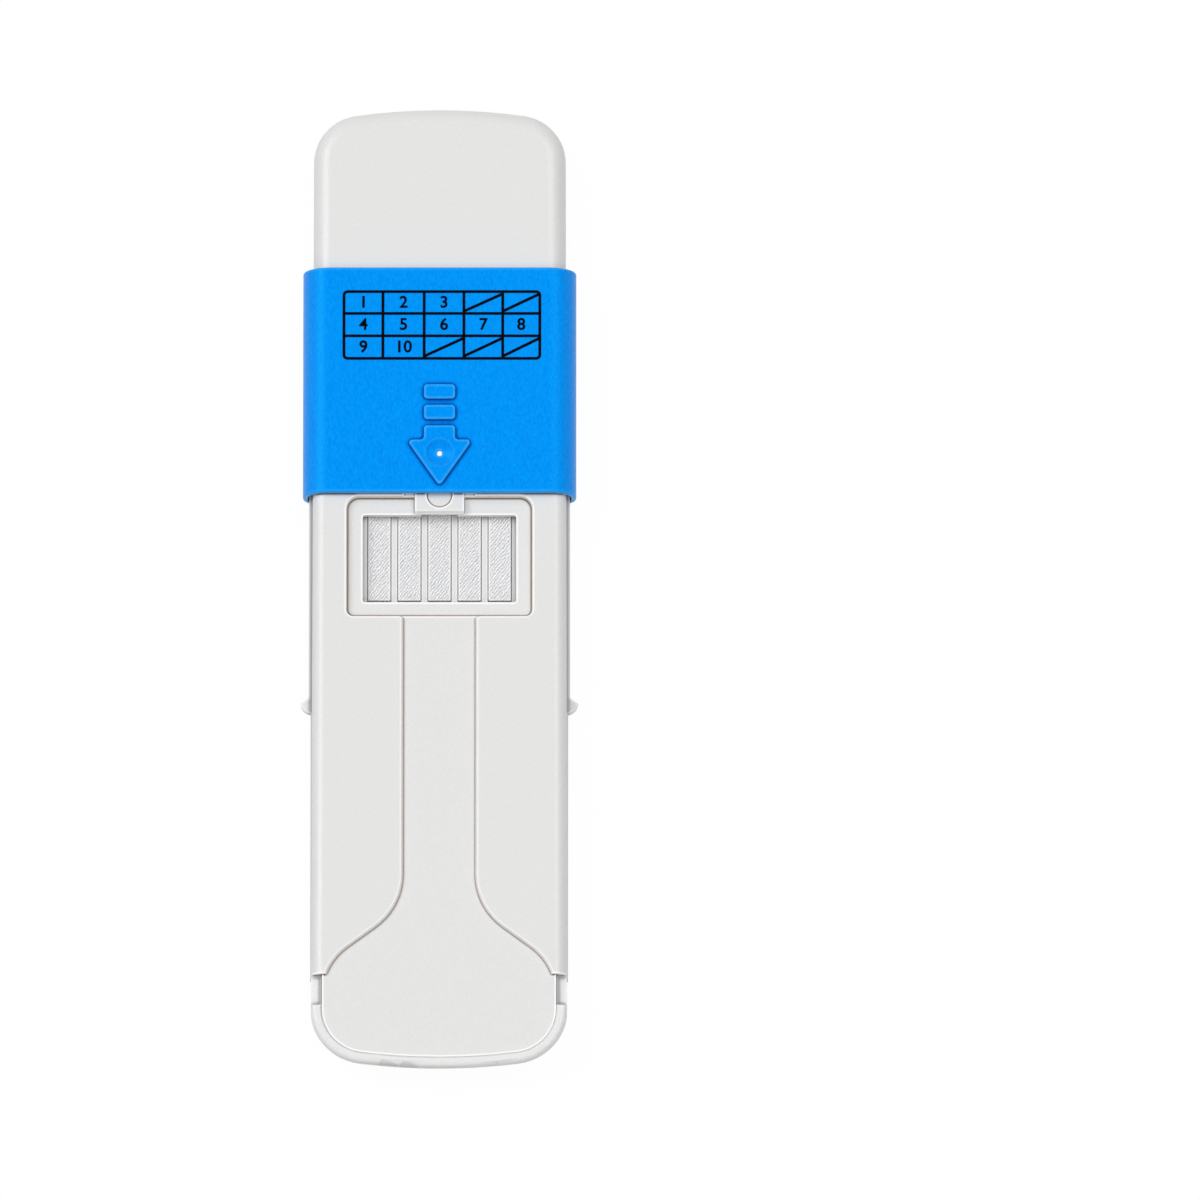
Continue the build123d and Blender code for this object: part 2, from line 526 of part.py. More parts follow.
def press_bars():
    """Cross bars under the cover, over the absorbent pads and the conjugate pads."""
    bars = Part()
    half = LANE_HALF - LANE_RIB_WIDTH
    roof = COVER_CEILING + SHELL_WALL / 4
    pad_top = max(CARD_FACE + ABSORBENT_THICKNESS, LANE_RIB_TOP)
    first = ABSORBENT_FOOT_Y + PAD_OVERLAP + PAD_RAMP + PRESS_BAR_WIDTH
    last = STRIP_HEAD_Y - 2 * PRESS_BAR_WIDTH
    for y in (first, (first + last) / 2, last):
        bars += block((-half, half), (y, y + PRESS_BAR_WIDTH), (pad_top + PRESS_BAR_GAP, roof))
    return bars


def laminate(x, bottom, thickness):
    """A strip layer: its underside's points (y, z) from the foot to the head, given an even thickness."""
    points = bottom + [(y, z + thickness) for y, z in reversed(bottom)]
    return across_body(points, (x - STRIP_WIDTH / 2, x + STRIP_WIDTH / 2))


def strip_layers(x):
    """The five layers of one strip, from the card up."""
    on_membrane = CARD_FACE + MEMBRANE_THICKNESS
    on_conjugate = CARD_FACE + CONJUGATE_THICKNESS
    card = laminate(x, [(STRIP_FOOT_Y, STRIP_BED), (STRIP_HEAD_Y, STRIP_BED)], CARD_THICKNESS)
    sample_head = STRIP_FOOT_Y + SAMPLE_LENGTH
    sample = laminate(x, [
        (STRIP_FOOT_Y, CARD_FACE),
        (CONJUGATE_FOOT_Y - PAD_RAMP, CARD_FACE),
        (CONJUGATE_FOOT_Y, on_conjugate),
        (sample_head, on_conjugate),
    ], SAMPLE_THICKNESS)
    conjugate = laminate(x, [
        (CONJUGATE_FOOT_Y, CARD_FACE),
        (MEMBRANE_FOOT_Y - PAD_RAMP, CARD_FACE),
        (MEMBRANE_FOOT_Y, on_membrane),
        (CONJUGATE_FOOT_Y + CONJUGATE_LENGTH, on_membrane),
    ], CONJUGATE_THICKNESS)
    membrane_head = MEMBRANE_FOOT_Y + MEMBRANE_LENGTH
    membrane = laminate(x, [(MEMBRANE_FOOT_Y, CARD_FACE), (membrane_head, CARD_FACE)], MEMBRANE_THICKNESS)
    absorbent = laminate(x, [
        (ABSORBENT_FOOT_Y, on_membrane),
        (membrane_head, on_membrane),
        (membrane_head + PAD_RAMP, CARD_FACE),
        (STRIP_HEAD_Y, CARD_FACE),
    ], ABSORBENT_THICKNESS)
    return {
        "backing_card": card,
        "sample_pad": sample,
        "conjugate_pad": conjugate,
        "membrane": membrane,
        "absorbent_pad": absorbent,
    }


def arrow_sketch():
    """Arrow that points to the sleeve's lower end, with a short stem."""
    tip_y = SLEEVE_FOOT_Y + ARROW_TIP_INSET
    shoulder_y = tip_y + ARROW_HEAD_LENGTH
    half = [
        (0, tip_y),
        (ARROW_HEAD_WIDTH / 2, shoulder_y),
        (DASH_WIDTH / 2, shoulder_y),
        (DASH_WIDTH / 2, shoulder_y + ARROW_STEM_LENGTH),
    ]
    points = half + [(-x, y) for x, y in reversed(half[1:])]
    face = make_face(Polyline(*points, close=True))
    return fillet(face.vertices(), ARROW_CORNER)


def slide_sleeve():
    """Blue sleeve: a rounded tube with two dashes and an arrow raised on its face."""
    stretch = (SLEEVE_FOOT_Y, SLEEVE_HEAD_Y)
    sleeve = along_body(sleeve_section(), stretch)
    sleeve = fillet(sleeve.faces().sort_by(Axis.Y)[0].edges(), SLEEVE_EDGE_FILLET)
    sleeve = fillet(sleeve.faces().sort_by(Axis.Y)[-1].edges(), SLEEVE_EDGE_FILLET)
    sleeve -= along_body(sleeve_section(SLEEVE_SIDE_WALL, BORE_CORNER), stretch)

    marks = [arrow_sketch()]
    stem_head = SLEEVE_FOOT_Y + ARROW_TIP_INSET + ARROW_HEAD_LENGTH + ARROW_STEM_LENGTH
    for count in (1, 2):
        y = stem_head + DASH_PITCH * count - DASH_LENGTH / 2
        marks.append(Pos(0, y) * RectangleRounded(DASH_WIDTH, DASH_LENGTH, DASH_CORNER))
    for mark in marks:
        relief = raised(mark, (SLEEVE_HEIGHT - SLEEVE_WALL / 2, SLEEVE_HEIGHT + MARK_RISE))
        sleeve += fillet(relief.edges().group_by(Axis.Z)[-1], MARK_FILLET)

    dish_y = SLEEVE_FOOT_Y + DISH_INSET
    ball = (DISH_RADIUS**2 + DISH_DEPTH**2) / (2 * DISH_DEPTH)
    sleeve -= Pos(0, dish_y, SLEEVE_HEIGHT + MARK_RISE - DISH_DEPTH + ball) * Sphere(ball)
    hole = Cylinder(DISH_HOLE_RADIUS, SLEEVE_HEIGHT, align=(Align.CENTER, Align.CENTER, Align.MIN))
    return sleeve - Pos(0, dish_y, SLEEVE_HEIGHT / 2) * hole


def write(shape, name):
    """Write one piece's STEP file."""
    export_step(shape, f"parts/{name}.step")


def main():
    os.makedirs("parts", exist_ok=True)
    write(base_shell(), "base_shell")
    write(front_cover(), "front_cover")
    write(slide_sleeve(), "slide_sleeve")
    for number, x in enumerate(STRIP_PLACES, start=1):
        for layer, shape in strip_layers(x).items():
            write(shape, f"strip_{number}_{layer}")


main()
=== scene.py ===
"""Looks of a lateral flow cassette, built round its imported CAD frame: five test strips in two
white shells, with a blue sleeve that slides along them. X runs across, Y along it with the plain
upper end at +Y, and Z out of its face. Lengths are in metres, as the frame's are."""

import math

import bmesh
import bpy
from bpy.props import FloatProperty, FloatVectorProperty, PointerProperty
from mathutils import Matrix, Vector, noise


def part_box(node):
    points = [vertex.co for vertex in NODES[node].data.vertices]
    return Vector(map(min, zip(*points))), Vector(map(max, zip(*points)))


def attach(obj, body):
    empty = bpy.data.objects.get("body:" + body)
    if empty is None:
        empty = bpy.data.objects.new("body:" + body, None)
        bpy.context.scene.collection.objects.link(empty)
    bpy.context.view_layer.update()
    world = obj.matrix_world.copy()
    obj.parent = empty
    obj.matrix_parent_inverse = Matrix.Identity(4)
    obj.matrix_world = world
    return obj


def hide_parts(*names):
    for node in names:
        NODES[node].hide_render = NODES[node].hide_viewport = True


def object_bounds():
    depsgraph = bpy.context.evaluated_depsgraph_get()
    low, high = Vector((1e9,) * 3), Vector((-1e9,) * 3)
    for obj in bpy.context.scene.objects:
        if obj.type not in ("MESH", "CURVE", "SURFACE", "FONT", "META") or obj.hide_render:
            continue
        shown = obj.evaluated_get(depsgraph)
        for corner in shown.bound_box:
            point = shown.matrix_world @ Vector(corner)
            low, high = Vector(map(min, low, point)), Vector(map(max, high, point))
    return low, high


bl_info = {
    "name": "Lateral flow cassette",
    "version": (1, 0, 0),
    "blender": (4, 5, 0),
    "location": "View3D > Sidebar > Cassette",
    "description": "Materials, print, strips and stage for a lateral flow cassette",
    "category": "Object",
}

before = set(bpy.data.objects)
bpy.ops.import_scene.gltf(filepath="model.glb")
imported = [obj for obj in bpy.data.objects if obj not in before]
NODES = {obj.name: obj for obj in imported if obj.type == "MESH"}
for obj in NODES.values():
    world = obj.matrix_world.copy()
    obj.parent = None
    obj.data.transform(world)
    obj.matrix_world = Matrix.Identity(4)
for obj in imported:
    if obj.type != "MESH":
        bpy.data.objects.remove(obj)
CAD_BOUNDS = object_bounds()

MM = 0.001
STRIP_COUNT = 5
WHITE = (1.0, 1.0, 1.0)

# A Mix node's sockets, which have the same names for values and for colours
MIX_FACTOR = 0
VALUE_A, VALUE_B, VALUE_RESULT = 2, 3, 0
COLOUR_A, COLOUR_B, COLOUR_RESULT = 6, 7, 2

# Patterns of the materials
NOISE_SPAN = (0.3, 0.7)  # where nearly all values of a noise texture lie
PAINTED_LIGHT_SPAN = (0.94, 0.8)  # ambient occlusion where a painted shade or painted highlight starts and where it is full
GRAIN_TURN = math.radians(-45.0)  # keeps the noise's own grid out of line with the body's edges
GRAIN_STRETCH = 0.45  # the grain is about twice as long, along the body, as it is wide
GRAIN_FLATNESS = 8  # width over height
FIBRE_LEAN = math.radians(45.0)
FIBRE_STRETCH = 0.8  # fibre bundles are a little longer, along the body, than they are wide
FIBRE_FLATNESS = 3  # width over height
# Reach of the painted highlight along a fibre pad's sharp cut edges
FIBRE_HIGHLIGHT_REACH = 0.35 * MM
RIB_SCALE = 0.155  # of a wave texture: one rib in each two bundles
INK_GRAIN = 0.4 * MM
POLYSTYRENE_IOR = 1.59
ABS_IOR = 1.53

# The printed table on the sleeve's face: its outer edge, and the middles of its lines
SLEEVE_FACE_Z = 10.0 * MM
TABLE_X = (-15.55 * MM, 16.27 * MM)
TABLE_Y = (36.80 * MM, 48.25 * MM)
COLUMN_LINES = (-9.09 * MM, -2.48 * MM, 3.89 * MM, 10.11 * MM)
ROW_LINES = (40.73 * MM, 44.43 * MM)
SLASHED_CELLS = ((0, 2), (0, 3), (0, 4), (2, 3), (2, 4))  # row from the lower end, then column
TABLE_CORNER_SEGMENTS = 5
INK_SINK = 0.005 * MM
FIGURE_HEIGHT = 0.72  # height of the font's figures, as a share of its size
FIGURE_WEIGHT = 0.025  # how far a figure's strokes are widened, as a share of its height

# The white spot in the dish's hole: a plug that stands in for the cover seen through it, painted
# pure white as a highlight so that the hole shows bright
DISH_Y = 21.4 * MM
SPOT_RADIUS = 0.44 * MM
SPOT_Z = (9.3 * MM, 9.68 * MM)
SPOT_SEGMENTS = 24

# Meshes of the strips' soft layers
WELD_DISTANCE = 0.001 * MM
FLAT_ANGLE = math.radians(1.0)
SQUARE_EDGE_ANGLE = math.radians(45.0)
EDGE_SEGMENTS = 2
FACING_UP = 0.7  # least Z of a normal on a layer's face
LUMP_PITCHES = 2.2  # width of a lump in a layer's face, in steps of its mesh
SEED_STEP = (7.3, 3.1, 0.0)  # from one strip's pattern of lumps to the next one's

# The stage. A lamp's direction is the one that its light comes from.
FLOOR_HALF = 1.5
FLOOR_CELLS = 4
FLOOR_DROP = 0.02 * MM
FLOOR_GLOW = 1.04
FLOOR_GLOW_SHARE = 0.92  # the rest is lit, and shows the cassette's shadow
SKY_COLOUR = (1.0, 0.98, 0.955)
SKY_LEVELS = (0.6, 1.15)  # at the horizon and overhead, against the sky's strength
LAMP_COLOUR = (0.96, 0.975, 1.0)
LAMP_SPREAD = math.radians(30)
KEY_DIRECTION = (-0.64, 0.3, 0.7)
FILL_DIRECTION = (0.42, 0.2, 0.88)
FRONT_DIRECTION = (0.1, -0.6, 0.79)
SENSOR_WIDTH = 36.0
CAMERA_AIM = (25.7, -2.5, 8.8)  # millimetres: the cassette lies left of the view's middle


def linear(hex_code):
    """Linear RGB of an sRGB hex colour."""
    channels = [int(hex_code[start : start + 2], 16) / 255 for start in (1, 3, 5)]
    return tuple(c / 12.92 if c <= 0.04045 else ((c + 0.055) / 1.055) ** 2.4 for c in channels)


def colour_setting(label, description, hex_code):
    """A colour that a user may change."""
    return FloatVectorProperty(
        name=label,
        description=description,
        default=linear(hex_code),
        subtype="COLOR",
        size=3,
        min=0,
        max=1,
    )


def length_setting(label, description, default):
    """A length that a user may change."""
    return FloatProperty(
        name=label,
        description=description,
        default=default,
        unit="LENGTH",
        subtype="DISTANCE",
        min=0,
        precision=5,
    )


def strength_setting(label, description, default):
    """A light's strength that a user may change."""
    return FloatProperty(name=label, description=description, default=default, min=0)


class ShellSettings(bpy.types.PropertyGroup):
    """The two white shells."""

    base_colour: colour_setting("Base colour", "Colour of the base shell", "#E7E7E6")
    cover_colour: colour_setting("Cover colour", "Colour of the front cover", "#E2E2E1")
    # Crease, shade and edge are painted light, set from ambient occlusion: painted shade in the
    # cover's creases and deep in the base shell, and a painted highlight on sharp outer edges
    crease_colour: colour_setting("Crease colour", "Colour deep in the cover's creases", "#80623A")
    shade_colour: colour_setting("Shade colour", "Colour deep down in the base shell", "#9A9CA2")
    edge_colour: colour_setting("Edge colour", "Colour of the sharp outer edges", "#FFFFFF")
    crease_reach: length_setting("Crease reach", "How far a crease's colour spreads", 0.36 * MM)
    shade_reach: length_setting("Shade reach", "How far the base shell's shade spreads", 0.9 * MM)
    edge_reach: length_setting("Edge reach", "How far a sharp edge's colour spreads", 0.42 * MM)
    grain: length_setting("Grain", "Width of the moulded grain", 0.22 * MM)
    edge_radius: length_setting("Edge radius", "Rounding of the crisp edges", 0.14 * MM)


class SleeveSettings(bpy.types.PropertyGroup):
    """The blue sleeve."""

    colour: colour_setting("Colour", "Colour of the sleeve", "#008FFF")
    # Crease and edge are painted light, set from ambient occlusion: a painted darker blue shade in
    # creases and a painted paler blue highlight on sharp outer edges
    crease_colour: colour_setting("Crease colour", "Colour deep in the creases", "#0030A0")
    edge_colour: colour_setting("Edge colour", "Colour of the sharp outer edges", "#58C8FF")
    crease_reach: length_setting("Crease reach", "How far a crease's colour spreads", 0.7 * MM)
    edge_reach: length_setting("Edge reach", "How far a sharp edge's colour spreads", 0.5 * MM)
    grain: length_setting("Grain", "Width of the moulded grain", 0.26 * MM)
    edge_radius: length_setting("Edge radius", "Rounding of the crisp edges", 0.15 * MM)


class PrintSettings(bpy.types.PropertyGroup):
    """The table printed on the sleeve."""

    colour: colour_setting("Ink colour", "Colour of the pad print", "#020203")
    line_width: length_setting("Line width", "Width of the table's lines", 0.43 * MM)
    corner: length_setting("Corner", "Radius of the table's outer corners", 0.8 * MM)
    thickness: length_setting("Ink thickness", "How far the ink stands up", 0.02 * MM)
    number_height: length_setting("Number height", "Height of the numbers", 1.95 * MM)


class StripSettings(bpy.types.PropertyGroup):
    """The soft layers of the test strips."""

    sample_colour: colour_setting("Sample pad", "Colour of the cellulose pads", "#E4E4E8")
    conjugate_colour: colour_setting("Conjugate pad", "Colour of the glass fibre pads", "#DDCBC8")
    membrane_colour: colour_setting("Membrane", "Colour of the nitrocellulose", "#EAEAE8")
    absorbent_colour: colour_setting("Absorbent pad", "Colour of the cotton pads", "#E4E4E0")
    card_colour: colour_setting("Backing card", "Colour of the backing film", "#ECECE9")
    thread: length_setting("Fibre", "Width of the fibre bundles in the pads", 0.185 * MM)


class StageSettings(bpy.types.PropertyGroup):
    """Floor, light and camera."""

    floor_colour: colour_setting("Floor", "Colour of the floor", "#D0D0D0")
    sky: strength_setting("Sky", "Strength of the soft light from overhead", 0.5)
    key: strength_setting("Key", "Strength of the light from the left", 1.13)
    fill: strength_setting("Fill", "Strength of the light from the right", 0.7)
    front: strength_setting("Front", "Strength of the light from the lower end", 0.32)
    elevation: FloatProperty(
        name="Elevation",
        description="Camera's angle above the floor",
        default=math.radians(76.6),
        subtype="ANGLE",
        unit="ROTATION",
    )
    lens: FloatProperty(
        name="Lens",
        description="Focal length in millimetres",
        default=1000.0,
        min=1,
        subtype="DISTANCE_CAMERA",
    )
    view_width: length_setting("View width", "What the camera sees across", 192.0 * MM)


class CassetteSettings(bpy.types.PropertyGroup):
    """All settings of the cassette's looks."""

    shells: PointerProperty(name="Shells", description="White shells", type=ShellSettings)
    sleeve: PointerProperty(name="Sleeve", description="Blue sleeve", type=SleeveSettings)
    table: PointerProperty(name="Print", description="Printed table", type=PrintSettings)
    strips: PointerProperty(name="Strips", description="Test strips", type=StripSettings)
    stage: PointerProperty(name="Stage", description="Stage", type=StageSettings)


def add_node(tree, kind, attributes=None, values=None, links=None):
    """Add a shader node, with its attributes, its sockets' values and what its sockets are
    linked to."""
    node = tree.nodes.new(kind)
    for name, value in (attributes or {}).items():
        setattr(node, name, value)
    for socket, value in (values or {}).items():
        node.inputs[socket].default_value = value
    for socket, source in (links or {}).items():
        tree.links.new(source, node.inputs[socket])
    return node


def new_material(name):
    """An empty node material and its node tree."""
    material = bpy.data.materials.new(name)
    material.use_nodes = True
    material.node_tree.nodes.clear()
    return material, material.node_tree


def shade(tree, values, links):
    """Finish a material's tree with its surface shader."""
    surface = add_node(tree, "ShaderNodeBsdfPrincipled", values=values, links=links)
    add_node(tree, "ShaderNodeOutputMaterial", links={"Surface": surface.outputs["BSDF"]})


def paint(piece, material):
    """Give a piece one material."""
    piece.data.materials.clear()
    piece.data.materials.append(material)


def opaque(colour):
    """A colour with a full alpha."""
    return (*colour, 1.0)


def mottled(tree, coordinates, colour, width, depth, ribbing=0.0):
    """A colour that varies a little from grain to grain, and the texture that it varies by.
    Ribbing is the share of fine wavy ribs across X in that texture."""
    grain = add_node(
        tree,
        "ShaderNodeTexNoise",
        values={"Scale": 1 / width, "Detail": 2.0, "Roughness": 0.6},
        links={"Vector": coordinates},
    )
    height = grain.outputs["Fac"]
    if ribbing:
        ribs = add_node(
            tree,
            "ShaderNodeTexWave",
            values={
                "Scale": RIB_SCALE / width,
                "Distortion": 4.5,
                "Detail": 2.0,
                "Detail Scale": 2.0,
            },
            links={"Vector": coordinates},
        )
        blend = add_node(
            tree,
            "ShaderNodeMix",
            values={MIX_FACTOR: ribbing},
            links={VALUE_A: height, VALUE_B: ribs.outputs["Fac"]},
        )
        height = blend.outputs[VALUE_RESULT]
    spread = add_node(
        tree,
        "ShaderNodeMapRange",
        values={"From Min": NOISE_SPAN[0], "From Max": NOISE_SPAN[1]},
        links={"Value": height},
    )
    dark = tuple(channel * (1 - depth) for channel in colour)
    light = tuple(min(1.0, channel * (1 + depth)) for channel in colour)
    mix = add_node(
        tree,
        "ShaderNodeMix",
        attributes={"data_type": "RGBA"},
        values={COLOUR_A: opaque(dark), COLOUR_B: opaque(light)},
        links={MIX_FACTOR: spread.outputs["Result"]},
    )
    return height, mix.outputs[COLOUR_RESULT]


def edge_tinted(tree, base, inside, tint, share, reach):
    """Painted light: a colour that turns into a tint, up to about a share of it, near a crease as
    painted shade, or near a sharp outer edge as a painted highlight if inside is set, as ambient
    occlusion tells."""
    around = add_node(
        tree,
        "ShaderNodeAmbientOcclusion",
        attributes={"samples": 8, "inside": inside, "only_local": inside},
        values={"Distance": reach},
    )
    nearness = add_node(
        tree,
        "ShaderNodeMapRange",
        values={
            "From Min": PAINTED_LIGHT_SPAN[0],
            "From Max": PAINTED_LIGHT_SPAN[1],
            "To Min": 0.0,
            "To Max": share,
        },
        links={"Value": around.outputs["AO"]},
    )
    mix = add_node(
        tree,
        "ShaderNodeMix",
        attributes={"data_type": "RGBA"},
        values={COLOUR_B: opaque(tint)},
        links={MIX_FACTOR: nearness.outputs["Result"], COLOUR_A: base},
    )
    return mix.outputs[COLOUR_RESULT]


def moulded_plastic(
    name,
    colour,
    grain,
    edge_radius,
    mottle,
    roughness,
    ior,
    specular,
    relief,
    gloss_tint=WHITE,
    crease=None,
    edge=None,
):
    """Plastic moulded against a spark eroded tool: satin, with a fine grain, and crisp edges that
    are just round enough to catch the light. Crease is painted shade, a deeper colour in creases,
    and edge is a painted highlight, a paler colour along sharp outer edges; both are tints worked
    out from ambient occlusion. The grain is drawn about four times as coarse as the real one,
    which is too fine to show."""
    material, tree = new_material(name)
    coordinates = add_node(tree, "ShaderNodeTexCoord").outputs["Object"]
    turned = add_node(
        tree,
        "ShaderNodeMapping",
        values={"Rotation": (0, 0, GRAIN_TURN), "Scale": (1.0, GRAIN_STRETCH, 1.0)},
        links={"Vector": coordinates},
    )
    height, base = mottled(tree, turned.outputs["Vector"], colour, grain, mottle)
    # Painted shade: the colour darkens in creases
    if crease:
        base = edge_tinted(tree, base, False, **crease)
    # Painted highlight: the colour turns paler along sharp outer edges
    if edge:
        base = edge_tinted(tree, base, True, **edge)
    round_edge = add_node(
        tree, "ShaderNodeBevel", attributes={"samples": 6}, values={"Radius": edge_radius}
    )
    bump = add_node(
        tree,
        "ShaderNodeBump",
        values={"Strength": relief, "Distance": grain / GRAIN_FLATNESS},
        links={"Height": height, "Normal": round_edge.outputs["Normal"]},
    )
    shade(
        tree,
        {
            "Roughness": roughness,
            "IOR": ior,
            "Specular IOR Level": specular,
            "Specular Tint": opaque(gloss_tint),
        },
        {"Base Color": base, "Normal": bump.outputs["Normal"]},
    )
    return material


def fibre_mat(name, colour, thread, roughness, relief, mottle, edge_highlight_share, lean=0.0, ribbing=0.0):
    """Matted fibre: dull and pebbled, with a painted highlight along its sharp cut edges, and with
    slanting ribs where it was pressed on a ribbed roller. Its bundles are drawn wider than real
    ones, which are too fine to show."""
    material, tree = new_material(name)
    coordinates = add_node(tree, "ShaderNodeTexCoord").outputs["Object"]
    turned = add_node(
        tree,
        "ShaderNodeMapping",
        values={
            "Rotation": (0, 0, lean),
            "Scale": (1 / thread, FIBRE_STRETCH / thread, 1 / thread),
        },
        links={"Vector": coordinates},
    )
    height, base = mottled(tree, turned.outputs["Vector"], colour, 1.0, mottle, ribbing)
    # Painted highlight: the colour turns paler along the sharp cut edges
    base = edge_tinted(tree, base, True, WHITE, edge_highlight_share, FIBRE_HIGHLIGHT_REACH)
    bump = add_node(
        tree,
        "ShaderNodeBump",
        values={"Strength": relief, "Distance": thread / FIBRE_FLATNESS},
        links={"Height": height},
    )
    shade(
        tree,
        {"Roughness": roughness, "IOR": 1.47, "Specular IOR Level": 0.2},
        {"Base Color": base, "Normal": bump.outputs["Normal"]},
    )
    return material


def printed_ink(colour):
    """Black pad print: thin and dense, with hardly any gloss."""
    material, tree = new_material("pad_print_ink")
    coordinates = add_node(tree, "ShaderNodeTexCoord").outputs["Object"]
    _, base = mottled(tree, coordinates, colour, INK_GRAIN, depth=0.25)
    shade(tree, {"Roughness": 0.5, "IOR": 1.5, "Specular IOR Level": 0.03}, {"Base Color": base})
    return material


def new_piece(name, bm, smooth=False):
    """A mesh object from a finished bmesh, at the origin."""
    mesh = bpy.data.meshes.new(name)
    bm.to_mesh(mesh)
    bm.free()
    for face in mesh.polygons:
        face.use_smooth = smooth
    piece = bpy.data.objects.new(name, mesh)
    bpy.context.scene.collection.objects.link(piece)
    return piece


def add_bar(bm, x, y, slope=0.0):
    """A flat bar between two limits along X and Y, whose ends are upright where it slopes."""
    middle = ((x[0] + x[1]) / 2, (y[0] + y[1]) / 2)
    verts = bmesh.ops.create_grid(bm, x_segments=1, y_segments=1, size=0.5)["verts"]
    shape = Matrix(
        (
            (x[1] - x[0], 0, 0, middle[0]),
            (slope * (x[1] - x[0]), y[1] - y[0], 0, middle[1]),
            (0, 0, 1, 0),
            (0, 0, 0, 1),
        )
    )
    bmesh.ops.transform(bm, matrix=shape, verts=verts)


def table_frame(bm, line_width, corner):
    """The table's outer line, with round corners."""
    add_bar(bm, TABLE_X, TABLE_Y)
    bmesh.ops.bevel(
        bm,
        geom=bm.verts[:],
        offset=corner,
        offset_type="OFFSET",
        segments=TABLE_CORNER_SEGMENTS,
        profile=0.5,
        affect="VERTICES",
        material=-1,
    )
    inner = bm.faces[:]
    bmesh.ops.inset_region(
        bm, faces=inner, thickness=line_width, use_boundary=True, use_even_offset=True
    )
    bmesh.ops.delete(bm, geom=inner, context="FACES")


def open_spans(lines, outer, line_width):
    """The open spans between a table's lines."""
    half = line_width / 2
    starts = [outer[0] + line_width] + [line + half for line in lines]
    ends = [line - half for line in lines] + [outer[1] - line_width]
    return list(zip(starts, ends))


def table_cells(line_width):
    """The open spans of the table's columns, and those of its rows from the lower end up."""
    columns = open_spans(COLUMN_LINES, TABLE_X, line_width)
    rows = open_spans(ROW_LINES, TABLE_Y, line_width)
    return columns, rows


def build_table_lines(table):
    """The printed table's lines, as one flat layer of ink."""
    bm = bmesh.new()
    table_frame(bm, table.line_width, table.corner)
    half = table.line_width / 2
    columns, rows = table_cells(table.line_width)
    for line in COLUMN_LINES:
        add_bar(bm, (line - half, line + half), (rows[0][0], rows[-1][1]))
    for line in ROW_LINES:
        for column in columns:
            add_bar(bm, column, (line - half, line + half))
    for row, column in SLASHED_CELLS:
        (left, right), (low, high) = columns[column], rows[row]
        upright = half * math.hypot(right - left, high - low) / (right - left)
        slope = (high - low - 2 * upright) / (right - left)
        middle = (low + high) / 2
        add_bar(bm, (left, right), (middle - upright, middle + upright), slope)
    return bm


def add_number(bm, number, centre, height):
    """A plain number, set in the middle of its cell."""
    text = bpy.data.curves.new(f"number_{number}", "FONT")
    text.body = str(number)
    text.align_x = "CENTER"
    text.align_y = "CENTER"
    text.size = height / FIGURE_HEIGHT
    text.offset = height * FIGURE_WEIGHT
    setting = bpy.data.objects.new(text.name, text)
    bpy.context.scene.collection.objects.link(setting)
    bpy.context.view_layer.update()
    graph = bpy.context.evaluated_depsgraph_get()
    mesh = bpy.data.meshes.new_from_object(setting.evaluated_get(graph))
    mesh.transform(Matrix.Translation((centre[0], centre[1], 0)))
    bm.from_mesh(mesh)
    bpy.data.objects.remove(setting)
    bpy.data.curves.remove(text)
    bpy.data.meshes.remove(mesh)


def build_numbers(table):
    """The numbers in the table's open cells, from the upper row down, as one flat layer of ink."""
    bm = bmesh.new()
    columns, rows = table_cells(table.line_width)
    number = 1
    for row in reversed(range(len(rows))):
        for column in range(len(columns)):
            if (row, column) in SLASHED_CELLS:
                continue
            centre = (sum(columns[column]) / 2, sum(rows[row]) / 2)
            add_number(bm, number, centre, table.number_height)
            number += 1
    return bm


def raise_ink(bm, thickness):
    """Turn flat ink into a thin layer that stands on the sleeve's face, with its foot just
    inside it."""
    bmesh.ops.remove_doubles(bm, verts=bm.verts, dist=WELD_DISTANCE)
    bmesh.ops.recalc_face_normals(bm, faces=bm.faces)
    if sum(face.normal.z for face in bm.faces) < 0:
        bmesh.ops.reverse_faces(bm, faces=bm.faces)
    bmesh.ops.translate(bm, verts=bm.verts, vec=(0, 0, SLEEVE_FACE_Z - INK_SINK))
    raised = bmesh.ops.extrude_face_region(bm, geom=bm.faces[:], use_keep_orig=True)
    top = [element for element in raised["geom"] if isinstance(element, bmesh.types.BMVert)]
    bmesh.ops.translate(bm, verts=top, vec=(0, 0, thickness + INK_SINK))
    bmesh.ops.recalc_face_normals(bm, faces=bm.faces)


def round_square_edges(bm, radius):
    """Round a layer's square edges."""
    square = [
        edge
        for edge in bm.edges
        if len(edge.link_faces) == 2 and edge.calc_face_angle() > SQUARE_EDGE_ANGLE
    ]
    bmesh.ops.bevel(
        bm,
        geom=square,
        offset=radius,
        offset_type="OFFSET",
        segments=EDGE_SEGMENTS,
        profile=0.5,
        affect="EDGES",
        material=-1,
        clamp_overlap=True,
    )


